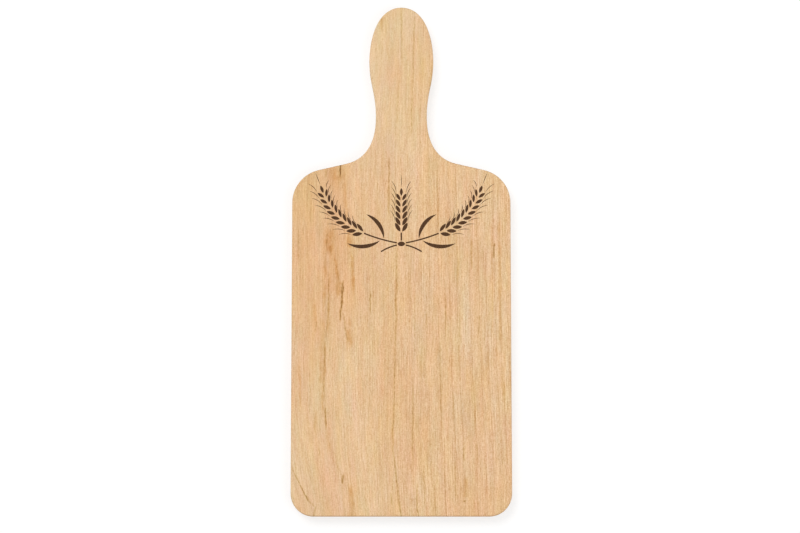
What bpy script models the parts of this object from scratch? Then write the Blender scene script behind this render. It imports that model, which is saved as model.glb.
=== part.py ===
"""Spaetzle board: one plank of pale hardwood, sawn to a paddle with a bottle-shaped grip.

The board lies on its underside, with +X across it, +Y from the scraping edge towards the tip of
the grip, and +Z out of the face that the dough is spread on. The world's origin is the middle
of the underside. The outline is drawn with its scraping edge on Y 0, and the finished board is
moved back by half its length. Sizes are in metres.
"""

import math

import bmesh
import bpy
from mathutils import Vector, geometry

MM = 0.001

# The plank
BODY_WIDTH = 145 * MM
THICKNESS = 10 * MM

# Lengths along the board, one after the other, from the scraping edge to the tip of the grip.
# The body ends where its straight side would meet the sloping shoulder, and the shoulder ends
# where it would meet the neck. Together they make a board of 340 mm.
BODY_LENGTH = 225.5 * MM
SHOULDER_RISE = 12.8 * MM
NECK_LENGTH = 26.7 * MM
WAIST_TO_WIDEST = 38 * MM
WIDEST_TO_TIP = 37 * MM

# The grip, across
WAIST_WIDTH = 34 * MM
GRIP_WIDTH = 42.8 * MM

# Rounds of the outline. The neck runs out along the shoulder for NECK_RUN.
NECK_RUN = 20 * MM
SHOULDER_RADIUS = 22.5 * MM
FRONT_CORNER_RADIUS = 15 * MM

# The scraping end: the underside is planed away, which leaves a lip of this thickness
SCRAPING_EDGE = 4 * MM
BEVEL_LENGTH = 20 * MM

# Sanded round of every outer edge, and the most of the lip's thickness that it may take
EDGE_ROUND = 1.2 * MM
MOST_OF_LIP = 0.45

# How far each curve keeps to the direction that it leaves or reaches a point in, as a share
# of the way to the corner or the point that it heads for
TIP_TENSION = 0.75
TIP_RELEASE = 0.43
SWELL_TENSION = 0.38
SWELL_RELEASE = 0.49
NECK_TENSION = 0.62
NECK_RELEASE = 0.67

# Straight steps that stand for one curve, one round corner and the round of an edge
CURVE_STEPS = 18
CORNER_STEPS = 14
EDGE_STEPS = 3

# Edges sharper than this are sanded round. The steps of the outline and the crease where the
# underside's bevel starts are blunter, so they stay.
SHARP_ANGLE = math.radians(30)

WOOD_COLOUR = (0.745, 0.482, 0.258, 1.0)
WOOD_ROUGHNESS = 0.6


def clear_scene():
    for existing in list(bpy.data.objects):
        bpy.data.objects.remove(existing, do_unlink=True)


def curve(start, leaving, reaching, end):
    """Points of a Bezier curve after its start. The two middle points are its handles."""
    return geometry.interpolate_bezier(start, leaving, reaching, end, CURVE_STEPS + 1)[1:]


def round_corner(before, corner, after, radius):
    """Points of the arc that rounds off a corner between the points before and after it."""
    back = (before - corner).normalized()
    onward = (after - corner).normalized()
    half_angle = back.angle(onward) / 2
    centre = corner + (back + onward).normalized() * radius / math.sin(half_angle)
    start = corner + back * radius / math.tan(half_angle) - centre
    sideways = -back * radius
    step = (math.pi - 2 * half_angle) / CORNER_STEPS
    turns = [step * count for count in range(CORNER_STEPS + 1)]
    return [centre + start * math.cos(turn) + sideways * math.sin(turn) for turn in turns]


def right_side():
    """The outline's right half, from the tip of the grip down to the scraping edge."""
    front_corner = Vector((BODY_WIDTH / 2, 0))
    shoulder_corner = Vector((BODY_WIDTH / 2, BODY_LENGTH))
    neck_corner = Vector((WAIST_WIDTH / 2, BODY_LENGTH + SHOULDER_RISE))
    waist = neck_corner + Vector((0, NECK_LENGTH))
    widest = Vector((GRIP_WIDTH / 2, waist.y + WAIST_TO_WIDEST))
    tip_corner = widest + Vector((0, WIDEST_TO_TIP))
    tip = Vector((0, tip_corner.y))

    leaving_tip = tip.lerp(tip_corner, TIP_TENSION)
    reaching_widest = widest.lerp(tip_corner, TIP_RELEASE)
    points = [tip] + curve(tip, leaving_tip, reaching_widest, widest)

    leaving_widest = widest - Vector((0, WAIST_TO_WIDEST * SWELL_TENSION))
    reaching_waist = waist + Vector((0, WAIST_TO_WIDEST * SWELL_RELEASE))
    points += curve(widest, leaving_widest, reaching_waist, waist)

    neck_end = neck_corner + (shoulder_corner - neck_corner).normalized() * NECK_RUN
    leaving_waist = waist.lerp(neck_corner, NECK_TENSION)
    reaching_shoulder = neck_end.lerp(neck_corner, NECK_RELEASE)
    points += curve(waist, leaving_waist, reaching_shoulder, neck_end)

    points += round_corner(neck_corner, shoulder_corner, front_corner, SHOULDER_RADIUS)
    points += round_corner(shoulder_corner, front_corner, Vector((0, 0)), FRONT_CORNER_RADIUS)
    return points


def outline():
    """The closed outline, clockwise from the tip of the grip."""
    right = right_side()
    left = [Vector((-point.x, point.y)) for point in reversed(right[1:])]
    return right + left


def saw_plank(shape):
    """The plank sawn along its outline: the underside, pushed up to the thickness."""
    underside = shape.faces.new([shape.verts.new((x, y, 0)) for x, y in outline()])
    pushed = bmesh.ops.extrude_face_region(shape, geom=[underside], use_keep_orig=True)
    work_face = [item for item in pushed["geom"] if isinstance(item, bmesh.types.BMVert)]
    bmesh.ops.translate(shape, verts=work_face, vec=(0, 0, THICKNESS))
    bmesh.ops.recalc_face_normals(shape, faces=shape.faces)


def plane_underside(shape):
    """Planes the underside away towards the scraping edge, down to the lip."""
    cut = bmesh.ops.bisect_plane(
        shape,
        geom=shape.verts[:] + shape.edges[:] + shape.faces[:],
        plane_co=(0, BEVEL_LENGTH, 0),
        plane_no=(0, SCRAPING_EDGE - THICKNESS, -BEVEL_LENGTH),
        clear_outer=True,
    )
    rim = [item for item in cut["geom_cut"] if isinstance(item, bmesh.types.BMEdge)]
    bmesh.ops.edgeloop_fill(shape, edges=rim)
    bmesh.ops.recalc_face_normals(shape, faces=shape.faces)


def sand_edges(shape):
    """Rounds every outer edge, as a pass on the sander does."""
    bmesh.ops.bevel(
        shape,
        geom=[edge for edge in shape.edges if edge.calc_face_angle() > SHARP_ANGLE],
        offset=min(EDGE_ROUND, SCRAPING_EDGE * MOST_OF_LIP),
        segments=EDGE_STEPS,
        profile=0.5,
        affect="EDGES",
        material=-1,
    )


def split_flat_faces(shape):
    """Splits the large flat faces into even triangles, so that none is a sliver."""
    flat = [face for face in shape.faces if len(face.verts) > 4]
    bmesh.ops.triangulate(shape, faces=flat, ngon_method="BEAUTY")


def wood():
    material = bpy.data.materials.new("sanded_hardwood")
    material.use_nodes = True
    surface = material.node_tree.nodes["Principled BSDF"]
    surface.inputs["Base Color"].default_value = WOOD_COLOUR
    surface.inputs["Roughness"].default_value = WOOD_ROUGHNESS
    surface.inputs["Metallic"].default_value = 0.0
    return material


def board():
    shape = bmesh.new()
    saw_plank(shape)
    plane_underside(shape)
    sand_edges(shape)
    split_flat_faces(shape)

    mesh = bpy.data.meshes.new("board")
    shape.to_mesh(mesh)
    shape.free()
    mesh.shade_smooth()
    mesh.set_sharp_from_angle(angle=SHARP_ANGLE)
    mesh.materials.append(wood())

    overall_length = BODY_LENGTH + SHOULDER_RISE + NECK_LENGTH + WAIST_TO_WIDEST + WIDEST_TO_TIP
    plank = bpy.data.objects.new("board", mesh)
    plank.location = (0, -overall_length / 2, 0)
    bpy.context.scene.collection.objects.link(plank)


clear_scene()
board()
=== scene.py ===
# %% [markdown]
# # A dough board in pale hardwood
#
# The board is one plank: a paddle with a bottle-shaped grip, sanded all over and printed on its
# work face. So this lesson is about two things, wood that is grown all the way through the
# plank and a thin film of ink. It starts by loading the finished solid, whose shape, size and
# place stay as they are.

# %% Load the plank's solid
import math

import bmesh
import bpy
from mathutils import Matrix, Vector


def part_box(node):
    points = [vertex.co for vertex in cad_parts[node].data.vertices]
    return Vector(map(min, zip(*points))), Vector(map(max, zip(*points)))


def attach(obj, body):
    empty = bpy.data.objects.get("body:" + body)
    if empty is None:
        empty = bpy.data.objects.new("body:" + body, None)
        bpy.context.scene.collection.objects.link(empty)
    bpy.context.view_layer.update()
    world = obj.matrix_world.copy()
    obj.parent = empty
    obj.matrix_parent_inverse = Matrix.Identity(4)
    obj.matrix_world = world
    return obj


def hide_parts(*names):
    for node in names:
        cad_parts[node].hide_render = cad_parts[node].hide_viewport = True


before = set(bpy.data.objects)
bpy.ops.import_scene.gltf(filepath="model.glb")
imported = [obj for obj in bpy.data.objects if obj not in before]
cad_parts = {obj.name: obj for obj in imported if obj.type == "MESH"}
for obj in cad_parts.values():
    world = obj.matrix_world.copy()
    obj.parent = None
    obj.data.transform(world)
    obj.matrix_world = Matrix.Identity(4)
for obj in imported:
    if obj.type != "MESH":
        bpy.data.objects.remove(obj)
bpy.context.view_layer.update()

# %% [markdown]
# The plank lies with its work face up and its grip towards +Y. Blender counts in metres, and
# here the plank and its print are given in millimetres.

MM = 0.001
low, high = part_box("board")
LENGTH, TOP = high.y - low.y, high.z
print("the plank is", [round(side / MM, 1) for side in high - low], "mm")

# %% [markdown]
# ## The sanded plank
#
# A real board is sawn, planed and then sanded, so its faces are flat and its edges softly
# round. The solid has that shape already, but as loose triangles. A new outline could be drawn
# here, but a copy of the solid can't differ from it: its points are merged, and the triangles
# that lie in one plane are dissolved into one face. The work face is then lowered by the
# thickness of the ink, so that the print doesn't stand out of the board's real height.

# %% Copy the solid into a clean mesh
INK_THICKNESS = 0.02 * MM
MERGE_WITHIN = 0.001 * MM
FLAT_WITHIN = math.radians(0.2)


def merged_copy(node, name):
    shape = bmesh.new()
    shape.from_mesh(node.data)
    bmesh.ops.remove_doubles(shape, verts=shape.verts, dist=MERGE_WITHIN)
    bmesh.ops.dissolve_limit(shape, angle_limit=FLAT_WITHIN, verts=shape.verts, edges=shape.edges)
    work_face = [point for point in shape.verts if point.co.z > TOP - INK_THICKNESS]
    bmesh.ops.translate(shape, verts=work_face, vec=(0, 0, -INK_THICKNESS))
    mesh = bpy.data.meshes.new(name)
    shape.to_mesh(mesh)
    shape.free()
    return mesh


plank_mesh = merged_copy(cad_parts["board"], "sanded_plank")
print("the plank has", len(plank_mesh.polygons), "faces")

# %% [markdown]
# Smooth shading turns the steps of the rounded edges into one soft roll. By itself it would
# also bend the light on the large flat faces, so a Weighted Normal modifier lets each large
# face keep its own direction.

# %% Shade the plank
plank_mesh.shade_smooth()
plank = bpy.data.objects.new("sanded_plank", plank_mesh)
bpy.context.scene.collection.objects.link(plank)
flat_faces = plank.modifiers.new("flat_faces", "WEIGHTED_NORMAL")
flat_faces.weight = 100

# %% [markdown]
# ## Colours and nodes
#
# Colours are written as sRGB hex values, and shaders want linear light, so one function turns
# the one into the other. A second one adds a node: it sets the node's options, and fills each
# socket with a number or a link. A third one starts a material.

# %% Three helpers
def linear(hex_colour):
    """A colour such as "#E2BC91" as linear red, green, blue and alpha, by sRGB's own curve."""
    shares = [int(hex_colour[place:place + 2], 16) / 255 for place in (1, 3, 5)]
    return [s / 12.92 if s <= 0.04045 else ((s + 0.055) / 1.055) ** 2.4 for s in shares] + [1.0]


def add_node(tree, kind, options=None, sockets=None):
    """Adds a node. sockets holds a number, a colour, a socket to link from, or a node for each.

    A socket goes by its name, or by its place where a node has several of one name.
    """
    node = tree.nodes.new(kind)
    for name, value in (options or {}).items():
        setattr(node, name, value)
    for name, value in (sockets or {}).items():
        if isinstance(value, bpy.types.Node):
            value = next(output for output in value.outputs if output.enabled)
        if isinstance(value, bpy.types.NodeSocket):
            tree.links.new(value, node.inputs[name])
        else:
            node.inputs[name].default_value = value
    return node


def new_material(name):
    """An empty material with its output node."""
    material = bpy.data.materials.new(name)
    material.use_nodes = True
    material.node_tree.nodes.clear()
    return material, material.node_tree, material.node_tree.nodes.new("ShaderNodeOutputMaterial")


# Where a Mix node has its factor and its two numbers or colours
FACTOR, NUMBER_A, NUMBER_B, COLOUR_A, COLOUR_B = 0, 2, 3, 6, 7
print("sanded maple is", [round(share, 3) for share in linear("#E2BC91")[:3]], "in linear light")

# %% [markdown]
# ## How the tree grew
#
# A plank isn't painted with grain: the saw cuts through rings that were grown round the pith,
# and what shows on each face, edge and end is where it happened to cut. So the pattern is made
# in three dimensions, in millimetres from the middle of the scraping edge. The grain doesn't run
# quite straight. Three curves say how far it drifts sideways on its way along the board, on its
# left, in its middle and on its right, and they are mixed in between. The rings are laid out in
# coordinates that follow this drift. The fine fibres run straighter: theirs follow it by two
# fifths.

# %% Grain coordinates
# Where across the board each curve holds, and the most that a curve can span
PIVOTS = (-50, -4, 37)
DRIFT_RANGE = 40
# Each point is a place along the board and the drift there
DRIFT_LEFT = ((0, 17.5), (27, 9.5), (50, 3), (85, -1), (140, 0), (340, 0))
DRIFT_MIDDLE = ((0, 2), (27, -1), (50, -3), (80, -2), (165, 0), (265, -0.5), (287, 2), (340, 3.5))
DRIFT_RIGHT = ((0, 5.5), (45, 4), (75, 2.5), (110, 1), (165, 0), (340, -1))
WOBBLE, WOBBLE_SIZE = 0.8, (30, 55, 30)
FIBRE_DRIFT = 0.4

wood_material, wood, wood_output = new_material("sanded_maple")


def set_curve(node, points, start, span, low_value, value_span):
    """Puts a Float Curve through points, each scaled into the curve's unit square."""
    curve = node.mapping.curves[0]
    while len(curve.points) < len(points):
        curve.points.new(0.5, 0.5)
    for spot, (place, value) in zip(curve.points, points):
        spot.location = ((place - start) / span, (value - low_value) / value_span)
    node.mapping.update()
    return node


def drift(points):
    """How far the grain has drifted to the right at this place along the board, in mm."""
    curve = add_node(wood, "ShaderNodeFloatCurve", sockets={"Value": share_along})
    set_curve(curve, points, 0, LENGTH / MM, -DRIFT_RANGE / 2, DRIFT_RANGE)
    return add_node(wood, "ShaderNodeMapRange", sockets={
        "Value": curve, "To Min": -DRIFT_RANGE / 2, "To Max": DRIFT_RANGE / 2})


coordinates = add_node(wood, "ShaderNodeTexCoord")
in_mm = add_node(wood, "ShaderNodeMapping", sockets={
    "Vector": coordinates.outputs["Object"], "Scale": (1 / MM,) * 3, "Location": (0, LENGTH / 2 / MM, 0)})
place = add_node(wood, "ShaderNodeSeparateXYZ", sockets={0: in_mm})
across, along, depth = place.outputs
share_along = add_node(wood, "ShaderNodeMath", {"operation": "DIVIDE"}, {0: along, 1: LENGTH / MM})

to_middle = add_node(wood, "ShaderNodeMapRange", sockets={
    "Value": across, "From Min": PIVOTS[0], "From Max": PIVOTS[1]})
to_right = add_node(wood, "ShaderNodeMapRange", sockets={
    "Value": across, "From Min": PIVOTS[1], "From Max": PIVOTS[2]})
left_half = add_node(wood, "ShaderNodeMix", sockets={
    FACTOR: to_middle, NUMBER_A: drift(DRIFT_LEFT), NUMBER_B: drift(DRIFT_MIDDLE)})
all_drift = add_node(wood, "ShaderNodeMix", sockets={
    FACTOR: to_right, NUMBER_A: left_half, NUMBER_B: drift(DRIFT_RIGHT)})

slow = add_node(wood, "ShaderNodeVectorMath", {"operation": "DIVIDE"}, {0: in_mm, 1: WOBBLE_SIZE})
wobble = add_node(wood, "ShaderNodeTexNoise", sockets={"Vector": slow, "Scale": 1, "Detail": 1})
wobble_mm = add_node(wood, "ShaderNodeMapRange", sockets={
    "Value": wobble, "To Min": -WOBBLE, "To Max": WOBBLE})
straight = add_node(wood, "ShaderNodeMath", {"operation": "SUBTRACT"}, {0: across, 1: all_drift})
grain_across = add_node(wood, "ShaderNodeMath", {"operation": "ADD"}, {0: straight, 1: wobble_mm})
grain = add_node(wood, "ShaderNodeCombineXYZ", sockets={0: grain_across, 1: along, 2: depth})
fibre_across = add_node(wood, "ShaderNodeMath", {"operation": "MULTIPLY_ADD"}, {
    0: all_drift, 1: -FIBRE_DRIFT, 2: across})
fibre_place = add_node(wood, "ShaderNodeCombineXYZ", sockets={0: fibre_across, 1: along, 2: depth})
print("the grain follows", len(DRIFT_LEFT) + len(DRIFT_MIDDLE) + len(DRIFT_RIGHT), "chosen places")

# %% [markdown]
# ## Growth rings
#
# The plank was sawn above the pith, a little left of its middle. There the saw runs along the
# rings, so they lie far apart, and to the right it cuts them more and more square, so they show
# as fine lines a few millimetres apart. A Wave texture could draw even rings, but years differ:
# a curve through the real radii turns the distance from the pith into a count of years. What
# comes after the point is the season. Towards its end the tree grows slowly and its wood is
# dense and dark, and just before the count passes a whole number, that makes a thin line.

# %% Years and the lines between them
PITH_ACROSS, PITH_BELOW = -28, 60
YEAR_RADII = (56, 64, 69.5, 73, 76, 80, 85, 88.5, 95, 99.5, 103.5, 108, 111, 115)
RING_START, RING_SPAN = 50, 75
LOWEST_YEAR, YEAR_SPAN = -2, len(YEAR_RADII) + 3
LATE_BEGINS, LATE_FULL = 0.35, 0.95
LINE_BEGINS, LINE_FULL = 0.86, 0.975

from_pith = add_node(wood, "ShaderNodeVectorMath", {"operation": "SUBTRACT"}, {
    0: grain, 1: (PITH_ACROSS, 0, TOP / MM - PITH_BELOW)})
ring_plane = add_node(wood, "ShaderNodeVectorMath", {"operation": "MULTIPLY"}, {
    0: from_pith, 1: (1, 0, 1)})
radius = add_node(wood, "ShaderNodeVectorMath", {"operation": "LENGTH"}, {0: ring_plane})
radius_share = add_node(wood, "ShaderNodeMapRange", sockets={
    "Value": radius.outputs["Value"], "From Min": RING_START, "From Max": RING_START + RING_SPAN})
year_curve = add_node(wood, "ShaderNodeFloatCurve", sockets={"Value": radius_share})
set_curve(year_curve, [(ring, year) for year, ring in enumerate(YEAR_RADII)],
          RING_START, RING_SPAN, LOWEST_YEAR, YEAR_SPAN)
years = add_node(wood, "ShaderNodeMapRange", sockets={
    "Value": year_curve, "To Min": LOWEST_YEAR, "To Max": LOWEST_YEAR + YEAR_SPAN})
season = add_node(wood, "ShaderNodeMath", {"operation": "FRACT"}, {0: years})
line_profile = add_node(wood, "ShaderNodeMapRange", {"interpolation_type": "SMOOTHSTEP"}, {
    "Value": season, "From Min": LINE_BEGINS, "From Max": LINE_FULL})
late_wood = add_node(wood, "ShaderNodeMapRange", {"interpolation_type": "SMOOTHSTEP"}, {
    "Value": season, "From Min": LATE_BEGINS, "From Max": LATE_FULL})
print("the saw cuts through", len(YEAR_RADII), "years")

# %% [markdown]
# Above the pith the saw runs nearly along the rings and smears each line out until it can't be
# seen, so a line counts only as far as its ring stands square to the face.

# %% Where the lines show
SMEARED, SHARP = 0.4, 0.75

ring_direction = add_node(wood, "ShaderNodeVectorMath", {"operation": "NORMALIZE"}, {0: ring_plane})
sideways = add_node(wood, "ShaderNodeSeparateXYZ", sockets={0: ring_direction})
squareness = add_node(wood, "ShaderNodeMath", {"operation": "ABSOLUTE"}, {0: sideways.outputs["X"]})
square_cut = add_node(wood, "ShaderNodeMapRange", {"interpolation_type": "SMOOTHSTEP"}, {
    "Value": squareness, "From Min": SMEARED, "From Max": SHARP})
line = add_node(wood, "ShaderNodeMath", {"operation": "MULTIPLY"}, {0: line_profile, 1: square_cut})

# %% [markdown]
# ## Fibres, flecks and tone
#
# Between the rings the wood is a bundle of fibres. Close up that is a streakiness less than a
# millimetre wide and up to several centimetres long. Real fibres are a fiftieth of a millimetre
# thick, far too fine to show, so they are drawn as bundles about half a millimetre across. Over a
# hand's width the tone moves too, from warm to pale. All of it is noise, stretched along the
# grain: each size below is how wide, how long and how deep a streak is, in millimetres. Only
# the pores are as long as they are wide. One more noise lets the ring lines fade and come back.

# %% Noise stretched along the grain
FAINTEST_LINE = 0.1


def stretched(kind, size, source=None, options=None, sockets=None):
    """A texture whose features have this size in mm: across, along and through the plank.

    It follows the fibres where no other source is given.
    """
    scaled = add_node(wood, "ShaderNodeVectorMath", {"operation": "DIVIDE"}, {
        0: source or fibre_place, 1: size})
    return add_node(wood, kind, options, {"Vector": scaled, "Scale": 1, **(sockets or {})})


threads = stretched("ShaderNodeTexNoise", (0.42, 60, 0.42), sockets={"Detail": 0})
long_fibres = stretched("ShaderNodeTexNoise", (0.41, 15, 0.41), sockets={"Detail": 0})
short_fibres = stretched("ShaderNodeTexNoise", (0.5, 7, 0.5), sockets={"Detail": 1, "Roughness": 0.6})
dashes = stretched("ShaderNodeTexNoise", (0.5, 2.4, 0.5), sockets={"Detail": 0})
pores = stretched("ShaderNodeTexNoise", (0.9, 0.9, 0.9), sockets={"Detail": 1})
bundles = stretched("ShaderNodeTexNoise", (3.2, 70, 3.2), sockets={"Detail": 2})
patches = stretched("ShaderNodeTexNoise", (24, 60, 24), source=in_mm, sockets={"Detail": 2})

line_breaks = stretched("ShaderNodeTexNoise", (3, 28, 3), source=grain, sockets={"Detail": 2})
line_strength = add_node(wood, "ShaderNodeMapRange", sockets={
    "Value": line_breaks, "From Min": 0.35, "From Max": 0.7, "To Min": FAINTEST_LINE})
faded_line = add_node(wood, "ShaderNodeMath", {"operation": "MULTIPLY"}, {0: line, 1: line_strength})

# %% [markdown]
# Where the saw has opened a vessel, the wood has a short dark fleck. The vessels are cells of a
# Voronoi texture. Every cell has a random colour, and only cells whose red is high enough hold
# an open vessel, so that the flecks don't make a pattern. A vessel in maple is less than a tenth
# of a millimetre wide, and would be lost in the picture, so it is drawn several times as wide.

# %% Open vessels
OPEN_SHARE = 0.28
VESSEL_EDGE, VESSEL_CORE = 0.30, 0.12

vessels = stretched("ShaderNodeTexVoronoi", (1.4, 9, 1.4))
fleck = add_node(wood, "ShaderNodeMapRange", {"interpolation_type": "SMOOTHSTEP"}, {
    "Value": vessels.outputs["Distance"], "From Min": VESSEL_EDGE, "From Max": VESSEL_CORE})
cell_colour = add_node(wood, "ShaderNodeSeparateColor", sockets={0: vessels.outputs["Color"]})
is_open = add_node(wood, "ShaderNodeMath", {"operation": "GREATER_THAN"}, {
    0: cell_colour.outputs["Red"], 1: 1 - OPEN_SHARE})
flecks = add_node(wood, "ShaderNodeMath", {"operation": "MULTIPLY"}, {0: fleck, 1: is_open})

# %% [markdown]
# ## Marks that this plank has
#
# What makes one plank different from the next is where something happened to the tree: a brown
# mineral streak, a fine crack that closed again, a pale field. Each is one long soft spot in
# the grain, so one node group draws them all. It takes a straight line on the face, and fades
# out towards the line's sides and ends. Its ranges aren't clamped. A smooth step never leaves
# its range anyway, and Cycles leaves clamping to the end: with a hundred marks, more results
# would wait for it than a shader can hold, and the board would render black.

# %% One group that draws a mark
MARK_SOCKETS = ("Across", "Along", "Centre", "Middle", "Lean", "Half Width", "Half Length",
                "Full Until", "Strength", "So Far")


def mark_group():
    group = bpy.data.node_groups.new("grain_mark", "ShaderNodeTree")
    for name in MARK_SOCKETS:
        group.interface.new_socket(name, in_out="INPUT", socket_type="NodeSocketFloat")
    group.interface.new_socket("Amount", in_out="OUTPUT", socket_type="NodeSocketFloat")
    given = group.nodes.new("NodeGroupInput").outputs
    result = group.nodes.new("NodeGroupOutput")

    onward = add_node(group, "ShaderNodeMath", {"operation": "SUBTRACT"}, {
        0: given["Along"], 1: given["Middle"]})
    axis = add_node(group, "ShaderNodeMath", {"operation": "MULTIPLY_ADD"}, {
        0: onward, 1: given["Lean"], 2: given["Centre"]})
    aside = add_node(group, "ShaderNodeMath", {"operation": "SUBTRACT"}, {0: given["Across"], 1: axis})
    distance = add_node(group, "ShaderNodeMath", {"operation": "ABSOLUTE"}, {0: aside})
    side = add_node(group, "ShaderNodeMapRange", {"interpolation_type": "SMOOTHSTEP", "clamp": False}, {
        "Value": distance, "From Min": given["Half Width"], "From Max": 0.0})

    reach = add_node(group, "ShaderNodeMath", {"operation": "ABSOLUTE"}, {0: onward})
    ends = add_node(group, "ShaderNodeMapRange", {"interpolation_type": "SMOOTHSTEP", "clamp": False}, {
        "Value": reach, "From Min": given["Half Length"], "From Max": given["Full Until"],
        "To Max": given["Strength"]})
    amount = add_node(group, "ShaderNodeMath", {"operation": "MULTIPLY"}, {0: side, 1: ends})
    strongest = add_node(group, "ShaderNodeMath", {"operation": "MAXIMUM"}, {
        0: amount, 1: given["So Far"]})
    group.links.new(strongest.outputs[0], result.inputs["Amount"])
    return group


MARK = mark_group()

# %% [markdown]
# No mark in wood has a clean outline. A little noise is added to the place on the board before
# the marks are drawn. Where that noise is finer than the mark, the mark's sides come out ragged,
# which suits a stain. Where it changes mostly along the board, the mark sways but keeps its
# width, which suits a hair-thin line. One noise moves both coordinates, so that both are ready
# at the same time and fewer results have to wait.
#
# A mark's row says where it starts and ends, across and along, then half its width, how much of
# its length fades at either end, and how strong it is. All marks lie near the work face and fade
# into the plank.

# %% Draw a table of marks
RAGGED, RAGGED_SIZE = 1.6, (2.2, 6, 2.2)
SWAY, SWAY_SIZE = 0.9, (40, 9, 40)
# Heights above the underside
MARKS_END, MARKS_FULL = 1.0, 7.0


def moved(place_across, size, most):
    """The place across and along the board, moved by up to this much by a noise of this size."""
    noise = stretched("ShaderNodeTexNoise", size, source=in_mm, sockets={"Detail": 3})
    move = add_node(wood, "ShaderNodeMapRange", sockets={"Value": noise, "To Min": -most, "To Max": most})
    return [add_node(wood, "ShaderNodeMath", {"operation": "ADD"}, {0: value, 1: move})
            for value in (place_across, along)]


near_face = add_node(wood, "ShaderNodeMapRange", sockets={
    "Value": depth, "From Min": MARKS_END, "From Max": MARKS_FULL})
ragged = moved(across, RAGGED_SIZE, RAGGED)
swaying = moved(across, SWAY_SIZE, SWAY)


def add_marks(rows, name, at):
    """The strongest of these marks at each place. at is that place, across and along."""
    strongest = 0.0
    for start_across, start, end_across, end, half_width, soft, strength in rows:
        half_length = (end - start) / 2
        strongest = add_node(wood, "ShaderNodeGroup", {"node_tree": MARK, "label": name}, {
            "Across": at[0], "Along": at[1], "Centre": (start_across + end_across) / 2,
            "Middle": (start + end) / 2, "Lean": (end_across - start_across) / (end - start),
            "Half Width": half_width, "Half Length": half_length, "Full Until": half_length - soft,
            "Strength": strength, "So Far": strongest})
    print(len(rows), name)
    return add_node(wood, "ShaderNodeMath", {"operation": "MULTIPLY"}, {0: strongest, 1: near_face})


# %% [markdown]
# The tone starts a little above the middle between a dark and a light wood colour. Each pattern
# then moves it up or down by its own small amount, those with light and dark parts from their
# middle. The fibres stand out most where the saw cut the rings square, which is on the right,
# and least on the grip, which is sanded finer because a hand holds it.

# %% Add up the tone
DARK_WOOD, LIGHT_WOOD = linear("#C4925A"), linear("#F9D6AB")
MIDDLE_TONE = 0.585
WAVERING = (
    (threads, 0.36),
    (long_fibres, 0.57),
    (short_fibres, 0.62),
    (dashes, 0.50),
    (pores, 0.74),
)
ONE_WAY = (
    (late_wood, -0.06),
    (faded_line, -0.34),
    (flecks, -0.17),
)
LEFT_PART, RIGHT_PART = -60, 10
CONTRAST_LEFT, CONTRAST_RIGHT = 0.76, 1.04
BODY_ENDS, GRIP_BEGINS = 220, 260
CONTRAST_GRIP = 0.68

figure = 0.0
for pattern, amount in WAVERING:
    centred = add_node(wood, "ShaderNodeMath", {"operation": "SUBTRACT"}, {0: pattern, 1: 0.5})
    figure = add_node(wood, "ShaderNodeMath", {"operation": "MULTIPLY_ADD"}, {
        0: centred, 1: amount, 2: figure})
for pattern, amount in ONE_WAY:
    figure = add_node(wood, "ShaderNodeMath", {"operation": "MULTIPLY_ADD"}, {
        0: pattern, 1: amount, 2: figure})
cut_contrast = add_node(wood, "ShaderNodeMapRange", sockets={
    "Value": across, "From Min": LEFT_PART, "From Max": RIGHT_PART,
    "To Min": CONTRAST_LEFT, "To Max": CONTRAST_RIGHT})
sanded_contrast = add_node(wood, "ShaderNodeMapRange", sockets={
    "Value": along, "From Min": BODY_ENDS, "From Max": GRIP_BEGINS,
    "To Min": 1.0, "To Max": CONTRAST_GRIP})
contrast = add_node(wood, "ShaderNodeMath", {"operation": "MULTIPLY"}, {
    0: cut_contrast, 1: sanded_contrast})
tone = add_node(wood, "ShaderNodeMath", {"operation": "MULTIPLY_ADD"}, {
    0: figure, 1: contrast, 2: MIDDLE_TONE})
bare = add_node(wood, "ShaderNodeMix", {"data_type": "RGBA"}, {
    FACTOR: tone, COLOUR_A: DARK_WOOD, COLOUR_B: LIGHT_WOOD})
print("the tone is made of", len(WAVERING) + len(ONE_WAY), "patterns")

# %% [markdown]
# Wood isn't one brown that is lighter here and darker there, which is what keeps it from looking
# like a photocopy: some strands are redder and some more like straw. A noise texture's colour
# output is three noises at once. Red and blue are taken up or down a little by theirs. The
# fourth dimension only picks which noise it is.

# %% Turn the colour of the strands
HUE_SPAN = Vector((0.29, 0, 0.50))
HUE_PICK = 5

hue_noise = stretched("ShaderNodeTexNoise", (7, 32, 7), options={"noise_dimensions": "4D"},
                      sockets={"W": HUE_PICK, "Detail": 3, "Roughness": 0.7})
hue_gain = add_node(wood, "ShaderNodeVectorMath", {"operation": "MULTIPLY_ADD"}, {
    0: hue_noise.outputs["Color"], 1: HUE_SPAN, 2: Vector((1, 1, 1)) - HUE_SPAN / 2})
hued = add_node(wood, "ShaderNodeVectorMath", {"operation": "MULTIPLY"}, {0: bare, 1: hue_gain})

# %% [markdown]
# Over a hand's width the wood goes from pale to tan, and tan wood is not only darker but more
# colourful, because what darkens it takes away blue first. Light that passes a stain twice as
# deep is filtered twice, so the filter's colour is raised to the power of the depth, which is
# what the Gamma node does. A negative depth makes the wood paler.

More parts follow.
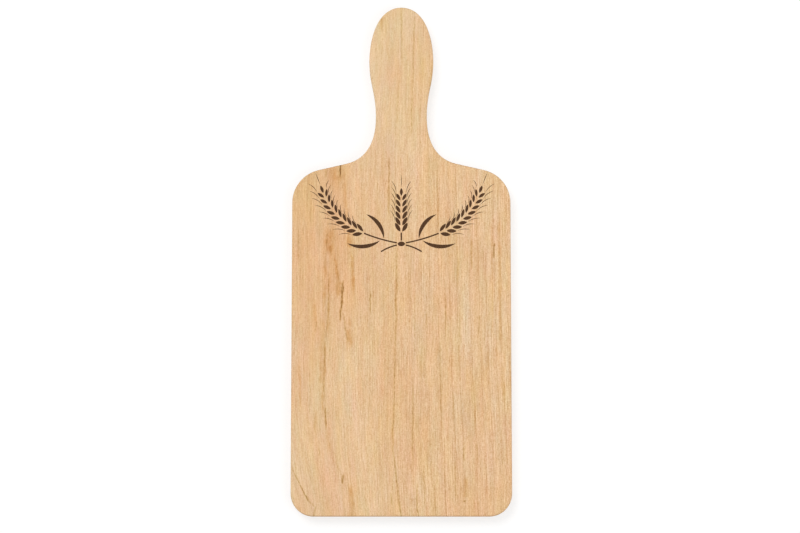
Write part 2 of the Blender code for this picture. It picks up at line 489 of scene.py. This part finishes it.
# %% Tan and pale fields
TAN_FILTER = linear("#FBF0E7")
PATCH_DEPTH = 2.0
TAN_FIELDS = (
    (-60, 90, -60, 285, 28, 70, 0.75),
    (-43, 120, -45, 250, 14, 45, 0.90),
    (-2, 60, -2, 185, 16, 50, 0.30),
)
PALE_FIELDS = (
    (-40, 15, -36, 125, 18, 35, 0.45),
    (-66, -30, -66, 70, 20, 40, 0.50),
    (-22, 0, -20, 180, 14, 50, 0.20),
    (40, 130, 40, 260, 22, 60, 0.30),
    (43, 90, 43, 168, 5, 20, 0.70),
    (0, 225, 0, 380, 50, 40, 0.50),
)
tan_depth = add_node(wood, "ShaderNodeMapRange", {"clamp": False}, {
    "Value": patches, "To Min": -PATCH_DEPTH / 2, "To Max": PATCH_DEPTH / 2})
for rows, name, sign in ((TAN_FIELDS, "tan fields", 1), (PALE_FIELDS, "pale fields", -1)):
    tan_depth = add_node(wood, "ShaderNodeMath", {"operation": "MULTIPLY_ADD"}, {
        0: add_marks(rows, name, ragged), 1: sign, 2: tan_depth})

# %% [markdown]
# In two places the wood is less red and more like straw. That is a second filter, as faint as
# the first.

# %% Straw-coloured fields
STRAW_FILTER = linear("#FBFFF9")
STRAW_FIELDS = (
    (-62, 185, -62, 245, 22, 15, 0.95),
    (-4, 245, -4, 380, 34, 20, 0.45),
)
straw_depth = add_marks(STRAW_FIELDS, "straw-coloured fields", ragged)

# %% [markdown]
# Streaks of minerals in the sap have stained this plank golden to rust-brown, mostly on its
# left. The wood takes the stain unevenly, so a mottled noise breaks these marks up.

# %% Rust-brown streaks
LEAST_THIRST, MOST_THIRST = 0.2, 1.8
RUST_STREAKS = (
    # Under the left shoulder
    (-43.5, 220, -43.5, 233, 8.5, 4, 0.25),
    (-45, 212, -45, 240, 9, 10, 0.12),
    (-36, 192, -37.5, 226, 1.8, 10, 0.16),
    (-34.3, 175, -34, 192, 3, 5, 0.25),
    (-47.5, 170, -48.5, 193, 5.5, 8, 0.34),
    (-46, 168, -46.2, 181, 2.2, 4, 0.16),
    # Round the crack
    (-31.2, 142, -32.8, 178, 1.6, 10, 0.28),
    (-41.2, 151, -44.6, 176, 1.5, 7, 0.22),
    (-41.4, 143, -41.6, 157, 3, 5, 0.26),
    (-34.3, 109, -34.4, 126, 3, 6, 0.38),
    (-34, 118, -34, 132, 3, 5, 0.14),
    # Beside the dark line down the left of the body
    (-50.6, 128, -50.4, 172, 2, 12, 0.22),
    (-48.2, 116, -47.8, 160, 1.3, 10, 0.22),
    (-52, 104, -51.5, 134, 3.2, 10, 0.12),
    (-52.2, 72, -52.2, 112, 2.6, 12, 0.17),
    (-50.8, 80, -50.3, 118, 1.2, 9, 0.22),
    (-51.2, 64, -51.5, 88, 2.6, 8, 0.22),
    (-49.2, 56, -50.2, 74, 1.2, 5, 0.20),
    (-46.4, 38, -48.4, 62, 3.4, 9, 0.12),
    # Along the left edge
    (-57, 124, -57.2, 144, 1.8, 7, 0.16),
    (-66.2, 68, -67, 106, 1.2, 10, 0.20),
    (-56.5, 52, -56.5, 68, 1.8, 6, 0.10),
    # At the scraping edge
    (-31.6, -6, -33.5, 22, 3.2, 5, 0.26),
    (-29.6, -6, -31.8, 14, 1.1, 5, 0.22),
    # Along the long line in the middle
    (-3.6, 133, -3.5, 157, 1.5, 6, 0.12),
    (-6.1, 38, -6, 62, 1.3, 6, 0.08),
    # On the right
    (46.6, 161, 46.2, 186, 1.4, 6, 0.15),
    (37.5, 148, 37.6, 174, 1.4, 7, 0.18),
    (42, 11, 42.4, 26, 2, 4, 0.22),
    (48.4, 54, 48.2, 77, 1.2, 6, 0.12),
    # Along the right edge
    (65.4, 108, 64.8, 206, 1.8, 16, 0.17),
    (60.6, 112, 59.6, 200, 1.2, 16, 0.12),
    (67.5, 74, 66.5, 104, 2.4, 10, 0.14),
    # On the grip
    (-13.6, 322, -12.4, 338, 2.4, 5, 0.18),
    (13, 284, 13, 304, 4, 7, 0.06),
)
mottle = stretched("ShaderNodeTexNoise", (1.8, 5, 1.8), sockets={"Detail": 3, "Roughness": 0.7})
thirst = add_node(wood, "ShaderNodeMapRange", sockets={
    "Value": mottle, "From Min": 0.7, "From Max": 0.3,
    "To Min": LEAST_THIRST, "To Max": MOST_THIRST})
whole_rust = add_marks(RUST_STREAKS, "rust-brown streaks", ragged)
rust = add_node(wood, "ShaderNodeMath", {"operation": "MULTIPLY"}, {0: whole_rust, 1: thirst})

# %% [markdown]
# The darkest marks are the thinnest: hair cracks that the tree closed again, and bark that it
# grew over. One line runs nearly the whole length of the board and follows the grain, so that
# one is drawn in the coordinate that has the drift taken out, in which it is straight. The noise
# of the dashes makes all of them fainter and darker along their length.

# %% Dark lines
FAINT_LENGTH, DARK_LENGTH = 0.55, 1.45
DARK_LINES = (
    # The crack, and what runs up and down from it
    (-40.8, 151, -43.6, 170, 0.8, 6, 0.22),
    (-39.4, 140, -38.7, 156, 0.9, 4, 0.95),
    (-39.1, 146, -38.8, 152.5, 1.35, 2.5, 1.05),
    (-40.1, 134, -39.1, 147, 0.9, 3, 0.95),
    (-39.7, 138.5, -39.4, 143, 1.25, 1.8, 1.05),
    (-40.5, 128, -40.1, 137, 0.9, 2.5, 1.10),
    (-35.2, 113, -38.6, 134, 0.9, 4, 0.36),
    # At the shoulders
    (-50.3, 224, -50.3, 230, 0.8, 2, 0.40),
    (-40.6, 224, -40.5, 242, 0.8, 3, 1.45),
    (-8.6, 196, -8, 241, 0.9, 8, 0.36),
    (18.5, 222, 18.5, 241, 0.8, 6, 0.16),
    # Down the left of the body, one after the other
    (-49.4, 178, -49, 189, 0.9, 3, 0.32),
    (-46.8, 171, -47, 179, 0.9, 2, 0.32),
    (-33.9, 176, -33.9, 189, 1, 3, 0.08),
    (-50.3, 160, -50.3, 177, 0.8, 5, 0.26),
    (-48.5, 130, -48, 163, 0.9, 9, 0.28),
    (-49.9, 112, -48.8, 133, 0.8, 8, 0.25),
    (-51.2, 72, -50.2, 118, 0.9, 10, 0.36),
    (-49.2, 56, -50.2, 73, 0.9, 5, 0.50),
    (-46, 38, -49, 60, 0.9, 7, 0.08),
    (-40, 27, -45.4, 45, 1, 6, 0.12),
    (-38.2, 21, -38, 28, 1.1, 2, 0.78),
    # Between them and the left edge
    (-68.1, 166, -68.2, 193, 0.8, 7, 0.22),
    (-65.2, 185, -65, 193, 0.7, 2, 0.30),
    (-56.2, 120, -56, 129, 0.8, 2.5, 0.40),
    (-56.5, 57, -56.7, 67, 0.8, 3, 0.16),
    (-60, 62, -60, 98, 0.8, 10, 0.16),
    (-53.6, 38, -54.6, 46, 0.8, 3, 0.22),
    # Across the left corner of the scraping edge
    (-70.2, 28, -71.8, 33, 0.75, 2, 0.30),
    (-66, 20, -70.6, 29.5, 0.75, 2.5, 0.40),
    (-62.6, 12.8, -66.6, 21.4, 0.75, 2, 0.60),
    (-60.4, 9.4, -63.4, 14.8, 0.85, 1.5, 0.85),
    (-55.8, 5.8, -61.4, 11, 1.2, 1.5, 0.26),
    (-58.2, -2, -55.4, 7.6, 0.9, 2, 0.20),
    # In the middle and on the right
    (-20.5, 131, -20.3, 150, 0.8, 5, 0.38),
    (7.5, 30, 7.6, 98, 0.8, 14, 0.30),
    (-6.1, 7, -6.9, 16, 0.8, 3, 0.34),
    (11.2, -6, 9.8, 22, 0.8, 6, 0.45),
    (15.8, 6, 14, 34, 0.8, 6, 0.22),
    (8.8, 103, 8.8, 132, 0.8, 8, 0.14),
    (26.2, 60, 25.6, 122, 0.8, 16, 0.18),
    (16.6, 123, 16.2, 135, 0.8, 3, 0.26),
    (28.9, 8, 27.6, 42, 0.8, 8, 0.08),
    (29.2, 115, 29.4, 150, 0.8, 10, 0.35),
    (36, 10, 34.8, 28, 0.8, 4, 0.22),
    (41.2, 35, 40.5, 46, 0.8, 3, 0.30),
    (38.4, 112, 38.6, 139, 0.8, 7, 0.14),
    (49.8, 35, 49.4, 50, 0.8, 4, 0.24),
    (46.6, 163, 46.2, 184, 0.8, 5, 0.28),
    (51.2, 118, 51.2, 134, 0.8, 5, 0.28),
    (61.4, 169, 61.4, 182, 0.8, 4, 0.80),
    (65.2, 112, 65, 138, 0.8, 8, 0.16),
    (68, 72, 67, 90, 0.8, 6, 0.22),
    # A pin knot near the scraping edge
    (41.2, 9.2, 41.5, 10.9, 1.3, 0.5, 0.70),
    # On the grip
    (-2.8, 258, -2.4, 288, 0.8, 8, 0.14),
    (0, 296, 0.3, 345, 0.8, 14, 0.22),
    (6.8, 250, 7, 282, 0.8, 8, 0.30),
    (6.6, 252, 9.2, 345, 0.9, 22, 0.20),
    (12.6, 262, 12.9, 290, 0.8, 8, 0.14),
    (18.8, 282, 20.6, 306, 0.9, 7, 0.20),
)
LONG_LINE = (
    (-2.5, -20, -2.7, 80, 0.8, 20, 0.42),
    (-2.5, 50, -3.1, 130, 0.9, 14, 0.34),
    (-3.1, 112, -3.1, 168, 1.1, 14, 0.33),
    (-3.1, 150, -3.1, 196, 1, 16, 0.20),
    (-3.1, 160, -3.1, 310, 0.8, 30, 0.12),
)
swaying_straight = moved(straight, SWAY_SIZE, SWAY)
dark_lines = add_marks(DARK_LINES, "dark lines", swaying)
long_line = add_marks(LONG_LINE, "stretches of the long line", swaying_straight)
whole_dark = add_node(wood, "ShaderNodeMath", {"operation": "MAXIMUM"}, {0: dark_lines, 1: long_line})
gaps = add_node(wood, "ShaderNodeMapRange", sockets={
    "Value": dashes, "From Min": 0.65, "From Max": 0.35,
    "To Min": FAINT_LENGTH, "To Max": DARK_LENGTH})
dark = add_node(wood, "ShaderNodeMath", {"operation": "MULTIPLY"}, {0: whole_dark, 1: gaps})

# %% [markdown]
# Each kind of stain has its own filter. The rust is golden, and what fills a crack is a plainer
# brown. Where a mark is twice as strong, its stain is twice as deep.

# %% Stain the wood
RUST_FILTER, BARK_FILTER = linear("#CCA467"), linear("#B8A471")
STAINS = (
    (TAN_FILTER, tan_depth),
    (STRAW_FILTER, straw_depth),
    (RUST_FILTER, rust),
    (BARK_FILTER, dark),
)

stained = hued
for stain, stain_depth in STAINS:
    stain_light = add_node(wood, "ShaderNodeGamma", sockets={"Color": stain, "Gamma": stain_depth})
    stained = add_node(wood, "ShaderNodeVectorMath", {"operation": "MULTIPLY"}, {
        0: stained, 1: stain_light})

# %% [markdown]
# At the scraping edge and round the tip of the grip the saw has cut the fibres across. Their
# open ends drink in more light, so end grain looks darker and browner than the faces. The
# direction of the surface says where that is.

# %% End grain
END_GRAIN_TINT = linear("#E3D6C8")
END_BEGINS, END_FULL = 0.5, 0.95

facing = add_node(wood, "ShaderNodeSeparateXYZ", sockets={0: coordinates.outputs["Normal"]})
lengthwise = add_node(wood, "ShaderNodeMath", {"operation": "ABSOLUTE"}, {0: facing.outputs["Y"]})
end_grain = add_node(wood, "ShaderNodeMapRange", {"interpolation_type": "SMOOTHSTEP"}, {
    "Value": lengthwise, "From Min": END_BEGINS, "From Max": END_FULL})
wood_colour = add_node(wood, "ShaderNodeMix", {"data_type": "RGBA", "blend_type": "MULTIPLY"}, {
    FACTOR: end_grain, COLOUR_A: stained, COLOUR_B: END_GRAIN_TINT})

# %% [markdown]
# ## The surface
#
# Bare, finely sanded wood is dull: roughness about 0.6, and the index of refraction of its cell
# walls, 1.53. The relief is tiny. Fibres stand up by a few hundredths of a millimetre and
# vessels and ring lines lie as deep below, which the Bump node takes in metres.

# %% Shader of the wood
RELIEF = 0.05 * MM
SMOOTHEST, ROUGHEST = 0.52, 0.66
CELL_WALL_IOR = 1.53

roughness = add_node(wood, "ShaderNodeMapRange", sockets={
    "Value": bundles, "From Min": 0.3, "From Max": 0.7, "To Min": SMOOTHEST, "To Max": ROUGHEST})
pits = add_node(wood, "ShaderNodeMath", {"operation": "MAXIMUM"}, {0: flecks, 1: faded_line})
relief = add_node(wood, "ShaderNodeMath", {"operation": "SUBTRACT"}, {0: short_fibres, 1: pits})
bump = add_node(wood, "ShaderNodeBump", sockets={"Strength": 0.5, "Distance": RELIEF, "Height": relief})
wood_surface = add_node(wood, "ShaderNodeBsdfPrincipled", sockets={
    "Base Color": wood_colour, "Roughness": roughness, "IOR": CELL_WALL_IOR,
    "Specular IOR Level": 0.3, "Normal": bump})
wood.links.new(wood_surface.outputs[0], wood_output.inputs["Surface"])
plank_mesh.materials.append(wood_material)
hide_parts("board")
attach(plank, "root")
print("the wood has", len(wood.nodes), "nodes")

# %% [markdown]
# ## The print
#
# Boards of this kind carry a small picture, pad-printed in one dark brown. Here it is three
# ears of wheat, tied where their stalks cross. All of it is arcs. An arc is a vertex spun round
# a centre, so a kernel, a leaf or an awn is filled in between two arcs that share both ends,
# and a stalk is a short edge spun the same way. No two shapes touch, which is how such prints
# are drawn: ink that runs together would close the picture up.

# %% Arcs, filled shapes and strokes
ARC_STEPS = 10
PRINT_ALONG = 197 * MM
PRINT_CENTRE = Vector((0, low.y + PRINT_ALONG, TOP - INK_THICKNESS))


def arc_of(length, bulge):
    """Centre and turn of the arc from (0, 0) to (length, 0) that rises by bulge."""
    radius = (length ** 2 / 4 + bulge ** 2) / (2 * abs(bulge))
    up = math.copysign(1, bulge)
    return Vector((length / 2, bulge - up * radius, 0)), -2 * up * math.asin(length / 2 / radius)


def spin_arc(shape, geom, length, bulge):
    centre, turn = arc_of(length, bulge)
    bmesh.ops.spin(shape, geom=geom, cent=centre, axis=(0, 0, 1), angle=turn, steps=ARC_STEPS)


def place_drawn(shape, part, spot, angle):
    """Turns and moves one drawn part to its spot, and adds it to the drawing."""
    bmesh.ops.transform(part, verts=part.verts,
                        matrix=Matrix.Translation(spot) @ Matrix.Rotation(angle, 4, "Z"))
    drawn = bpy.data.meshes.new("drawn")
    part.to_mesh(drawn)
    part.free()
    shape.from_mesh(drawn)
    bpy.data.meshes.remove(drawn)


def add_blade(shape, length, upper, lower, spot, angle):
    """A shape between two arcs, which starts at spot and points along angle."""
    part = bmesh.new()
    for bulge in (upper, lower):
        spin_arc(part, [part.verts.new((0, 0, 0))], length, bulge)
    bmesh.ops.remove_doubles(part, verts=part.verts, dist=MERGE_WITHIN)
    bmesh.ops.contextual_create(part, geom=part.edges)
    place_drawn(shape, part, spot, angle)


def add_stroke(shape, start, end, bulge, width):
    """A line of even width along an arc from start to end."""
    part = bmesh.new()
    way = end - start
    centre, turn = arc_of(way.length, bulge)
    aside = centre.normalized() * width / 2
    sides = [part.verts.new(aside), part.verts.new(-aside)]
    spin_arc(part, [*sides, part.edges.new(sides)], way.length, bulge)
    place_drawn(shape, part, start, math.atan2(way.y, way.x))


# %% [markdown]
# An ear follows a path that gives a spot and the direction of growth there. Kernels sit in
# pairs on both sides of it, each pair a little smaller than the one before, and each kernel
# sends out a hair-thin awn. On the inside of a bend they crowd, so the kernels are slimmer
# there, and the awns shorter and spread wider. One more kernel ends the ear.

# %% Ears of wheat
SIDE_EAR_CENTRE = Vector((8, 34, 0)) * MM
SIDE_EAR_RADIUS = 47 * MM
SIDE_EAR_FROM, SIDE_EAR_TO = math.radians(22), math.radians(65)
SIDE_EAR_PAIRS = 9
MIDDLE_EAR_FROM, MIDDLE_EAR_TO = -9 * MM, 12 * MM
MIDDLE_EAR_PAIRS = 6

KERNEL_LENGTH, KERNEL_BULGE = 6.8 * MM, 1.3 * MM
INSIDE_BULGE = 0.85
KERNEL_SPREAD = math.radians(30)
KERNEL_OFFSET = 0.7 * MM
LAST_KERNEL = 0.78
END_KERNEL_STEP, END_KERNEL_BULGE = 0.7, 0.75
AWN_LENGTH, AWN_BULGE, AWN_THICKNESS = 9 * MM, 0.8 * MM, 0.38 * MM
AWN_GAP = 0.35 * MM
AWN_SPREAD, INSIDE_AWN_SPREAD = math.radians(22), math.radians(43)
INSIDE_AWN_LENGTH = 6 * MM


def side_path(share):
    """A spot on the right ear's bend, and the direction of growth there."""
    turn = SIDE_EAR_FROM + (SIDE_EAR_TO - SIDE_EAR_FROM) * share
    return SIDE_EAR_CENTRE + SIDE_EAR_RADIUS * Vector((math.sin(turn), -math.cos(turn), 0)), turn


def middle_path(share):
    """A spot on the upright ear, and the direction of growth there."""
    height = MIDDLE_EAR_FROM + (MIDDLE_EAR_TO - MIDDLE_EAR_FROM) * share
    return Vector((0, height, 0)), math.pi / 2


def towards(angle):
    return Vector((math.cos(angle), math.sin(angle), 0))


def add_kernel(shape, base, growth, side, size, inside):
    """One kernel and its awn. Side is 1 on the left of the growth and -1 on its right."""
    bulge = KERNEL_BULGE * size * (INSIDE_BULGE if inside else 1)
    length = KERNEL_LENGTH * size
    angle = growth + side * KERNEL_SPREAD
    add_blade(shape, length, bulge, -bulge, base, angle)
    tip = base + towards(angle) * (length + AWN_GAP)
    awn_angle = growth + side * (INSIDE_AWN_SPREAD if inside else AWN_SPREAD)
    awn_bulge = -side * AWN_BULGE
    add_blade(shape, INSIDE_AWN_LENGTH if inside else AWN_LENGTH,
              awn_bulge, awn_bulge - side * AWN_THICKNESS, tip, awn_angle)


def add_ear(shape, path, pairs, bends_left):
    for pair in range(pairs):
        share = pair / (pairs - 1)
        spot, growth = path(share)
        size = 1 + (LAST_KERNEL - 1) * share
        for side in (-1, 1):
            base = spot + towards(growth + side * math.pi / 2) * KERNEL_OFFSET
            add_kernel(shape, base, growth, side, size, bends_left and side == 1)
    spot, growth = path(1 + END_KERNEL_STEP / (pairs - 1))
    length, bulge = KERNEL_LENGTH * LAST_KERNEL, KERNEL_BULGE * END_KERNEL_BULGE
    add_blade(shape, length, bulge, -bulge, spot, growth)
    tip = spot + towards(growth) * (length + AWN_GAP)
    add_blade(shape, AWN_LENGTH, AWN_THICKNESS / 2, -AWN_THICKNESS / 2, tip, growth)


def add_side_ear(shape):
    add_ear(shape, side_path, SIDE_EAR_PAIRS, bends_left=True)


def add_middle_ear(shape):
    add_ear(shape, middle_path, MIDDLE_EAR_PAIRS, bends_left=False)


# %% [markdown]
# Stalks are strokes that run from the knot to an ear, and on as tails below the knot. A stroke
# below says where it starts and ends and how far it bows. A leaf says where it starts, how long
# it is, how far its two sides bow and which way it points, in degrees. The finished drawing is
# flat, and extruding it gives the ink its thickness. The left ear is the right one, mirrored,
# which turns its faces round, so their directions are worked out anew.

# %% Stalks, leaves and the knot
STALK_WIDTH = 0.95 * MM
KNOT_START, KNOT_LENGTH, KNOT_BULGE = (-2.6, -17.2), 5.2, 1.6
SIDE_STALK = ((3.0, -16.5), (24.8, -10.1), -0.6)
SIDE_TAIL = ((-13.5, -22.4), (-2.9, -18.0), 0.5)
MIDDLE_STALK = ((0, -15.1), (0, -9.6), 0.02)  # an arc has to bow a little
LEAVES = (
    ((11.6, -13.6), 20, 4.2, 1.6, 54),
    ((14.0, -14.9), 22, -4.4, -1.8, -5),
)


def in_print(spot):
    """A spot given in mm from the centre of the print."""
    return Vector((*spot, 0)) * MM


def add_stalk(shape, stroke):
    start, end, bow = stroke
    add_stroke(shape, in_print(start), in_print(end), bow * MM, STALK_WIDTH)


def add_side_stalk(shape):
    add_stalk(shape, SIDE_STALK)
    add_stalk(shape, SIDE_TAIL)
    for spot, length, upper, lower, angle in LEAVES:
        add_blade(shape, length * MM, upper * MM, lower * MM, in_print(spot), math.radians(angle))


def add_middle_stalk(shape):
    add_stalk(shape, MIDDLE_STALK)


def add_knot(shape):
    add_blade(shape, KNOT_LENGTH * MM, KNOT_BULGE * MM, -KNOT_BULGE * MM, in_print(KNOT_START), 0)


def printed(name, parts, mirrored=False):
    """The film of ink from one or more drawn parts, laid on the work face."""
    shape = bmesh.new()
    for add_part in parts:
        add_part(shape)
    if mirrored:
        bmesh.ops.scale(shape, verts=shape.verts, vec=(-1, 1, 1))
    pushed = bmesh.ops.extrude_face_region(shape, geom=shape.faces[:], use_keep_orig=True)
    film_top = [item for item in pushed["geom"] if isinstance(item, bmesh.types.BMVert)]
    bmesh.ops.translate(shape, verts=film_top, vec=(0, 0, INK_THICKNESS))
    bmesh.ops.translate(shape, verts=shape.verts, vec=PRINT_CENTRE)
    bmesh.ops.recalc_face_normals(shape, faces=shape.faces)
    mesh = bpy.data.meshes.new(name)
    shape.to_mesh(mesh)
    shape.free()
    film = bpy.data.objects.new(name, mesh)
    bpy.context.scene.collection.objects.link(film)
    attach(film, "root")
    print(name, "has", len(mesh.polygons), "faces")
    return film


films = [
    printed("printed_wheat_right", (add_side_ear, add_side_stalk)),
    printed("printed_wheat_left", (add_side_ear, add_side_stalk), mirrored=True),
    printed("printed_wheat_middle", (add_middle_ear, add_middle_stalk, add_knot)),
]

# %% [markdown]
# Pad-printing ink dries matt, and on wood it is pressed on so thinly that the wood shows
# through a little. A noise stretched along the grain makes the brown lighter there.

# %% Ink
INK_DARK, INK_THIN = linear("#452910"), linear("#624222")
INK_STREAK = Vector((0.5, 5, 0.5)) * MM

ink_material, ink, ink_output = new_material("pad_printed_ink")
ink_place = add_node(ink, "ShaderNodeTexCoord")
ink_fibres = add_node(ink, "ShaderNodeMapping", sockets={
    "Vector": ink_place.outputs["Object"], "Scale": [1 / side for side in INK_STREAK]})
cover = add_node(ink, "ShaderNodeTexNoise", sockets={"Vector": ink_fibres, "Scale": 1, "Detail": 2})
thin = add_node(ink, "ShaderNodeMapRange", sockets={"Value": cover, "From Min": 0.45, "From Max": 0.8})
ink_colour = add_node(ink, "ShaderNodeMix", {"data_type": "RGBA"}, {
    FACTOR: thin, COLOUR_A: INK_DARK, COLOUR_B: INK_THIN})
ink_gloss = add_node(ink, "ShaderNodeMapRange", sockets={"Value": cover, "To Min": 0.5, "To Max": 0.7})
ink_bump = add_node(ink, "ShaderNodeBump", sockets={
    "Strength": 0.3, "Distance": 0.01 * MM, "Height": cover})
ink_surface = add_node(ink, "ShaderNodeBsdfPrincipled", sockets={
    "Base Color": ink_colour, "Roughness": ink_gloss, "IOR": 1.5, "Specular IOR Level": 0.2,
    "Normal": ink_bump})
ink.links.new(ink_surface.outputs[0], ink_output.inputs["Surface"])
for film in films:
    film.data.materials.append(ink_material)

# %% [markdown]
# ## Floor and light
#
# The board lies on a plain white floor in even light. Of what the camera sees of the floor,
# about two thirds is its own glow and one third the light that falls on it, so it stays white
# and still keeps the board's soft shadow. Far from the board it fades into the white of the
# world. Only the camera and reflections see that glow: for the board it is plain white paper.

# %% White floor
FLOOR_REACH = 12.0
FADE_FROM, FADE_TO = 0.25, 0.8
GLOW = 0.66

floor_shape = bmesh.new()
bmesh.ops.create_grid(floor_shape, x_segments=1, y_segments=1, size=FLOOR_REACH)
floor_mesh = bpy.data.meshes.new("floor")
floor_shape.to_mesh(floor_mesh)
floor_shape.free()
floor = bpy.data.objects.new("floor", floor_mesh)
bpy.context.scene.collection.objects.link(floor)

floor_material, paper, paper_output = new_material("white_floor")
seen = add_node(paper, "ShaderNodeLightPath")
camera_or_glossy = add_node(paper, "ShaderNodeMath", {"operation": "MAXIMUM"}, {
    0: seen.outputs["Is Camera Ray"], 1: seen.outputs["Is Glossy Ray"]})
direct = add_node(paper, "ShaderNodeMath", {"operation": "MAXIMUM"}, {
    0: camera_or_glossy, 1: seen.outputs["Is Transmission Ray"]})
floor_place = add_node(paper, "ShaderNodeTexCoord")
distance = add_node(paper, "ShaderNodeVectorMath", {"operation": "LENGTH"}, {
    0: floor_place.outputs["Object"]})
far = add_node(paper, "ShaderNodeMapRange", {"interpolation_type": "SMOOTHSTEP"}, {
    "Value": distance.outputs["Value"], "From Min": FADE_FROM, "From Max": FADE_TO})
matt = add_node(paper, "ShaderNodeBsdfDiffuse", sockets={"Color": linear("#F2F2F2")})
lit_third = add_node(paper, "ShaderNodeBsdfDiffuse", sockets={"Color": linear("#A6A6A6")})
own_glow = add_node(paper, "ShaderNodeEmission", sockets={"Strength": GLOW})
all_white = add_node(paper, "ShaderNodeEmission", sockets={"Strength": 1.0})
shadowed = add_node(paper, "ShaderNodeAddShader", sockets={0: lit_third, 1: own_glow})
faded = add_node(paper, "ShaderNodeMixShader", sockets={0: far, 1: shadowed, 2: all_white})
paper_shader = add_node(paper, "ShaderNodeMixShader", sockets={0: direct, 1: matt, 2: faded})
paper.links.new(paper_shader.outputs[0], paper_output.inputs["Surface"])
floor_mesh.materials.append(floor_material)

# %% [markdown]
# The light is a white world and one large softbox high on the left, with a weaker one on the
# right. Together they are as strong as it takes for a colour to render about as it is written.

# %% World and softboxes
WORLD_LIGHT = 0.59
WHITE = linear("#FFFFFF")

world = bpy.data.worlds.new("studio")
bpy.context.scene.world = world
world.use_nodes = True
sky = world.node_tree
sky.nodes.clear()
sky_output = sky.nodes.new("ShaderNodeOutputWorld")
sky_seen = add_node(sky, "ShaderNodeLightPath")
sky_sharp = add_node(sky, "ShaderNodeMath", {"operation": "MAXIMUM"}, {
    0: sky_seen.outputs["Is Camera Ray"], 1: sky_seen.outputs["Is Glossy Ray"]})
sky_direct = add_node(sky, "ShaderNodeMath", {"operation": "MAXIMUM"}, {
    0: sky_sharp, 1: sky_seen.outputs["Is Transmission Ray"]})
sky_light = add_node(sky, "ShaderNodeBackground", sockets={"Color": WHITE, "Strength": WORLD_LIGHT})
sky_white = add_node(sky, "ShaderNodeBackground", sockets={"Color": WHITE, "Strength": 1.0})
sky_mix = add_node(sky, "ShaderNodeMixShader", sockets={0: sky_direct, 1: sky_light, 2: sky_white})
sky.links.new(sky_mix.outputs[0], sky_output.inputs["Surface"])


def softbox(name, spot, size, watts):
    lamp = bpy.data.lights.new(name, "AREA")
    lamp.shape, lamp.size, lamp.energy = "DISK", size, watts
    holder = bpy.data.objects.new(name, lamp)
    holder.location = spot
    holder.rotation_euler = (-Vector(spot)).to_track_quat("-Z", "Y").to_euler()
    bpy.context.scene.collection.objects.link(holder)


softbox("key", spot=(-1.3, 1.5, 3.2), size=2.0, watts=49)
softbox("fill", spot=(1.8, -1.2, 2.8), size=2.0, watts=19)

# %% [markdown]
# ## Camera
#
# The picture was taken from nearly straight above, from a little in front of the board: its
# sides draw together by about one part in eighty towards the grip, which gives the tilt.

# %% Camera
CAMERA_SPOT = Vector((-0.9, -221.3, 1666.1)) * MM
CAMERA_TILT = math.radians(7.43)
LENS = 113.6

camera_data = bpy.data.cameras.new("camera")
camera_data.lens = LENS
camera = bpy.data.objects.new("camera", camera_data)
camera.location = CAMERA_SPOT
camera.rotation_euler = (CAMERA_TILT, 0, 0)
bpy.context.scene.collection.objects.link(camera)
bpy.context.scene.camera = camera
bpy.context.scene.view_settings.view_transform = "Standard"
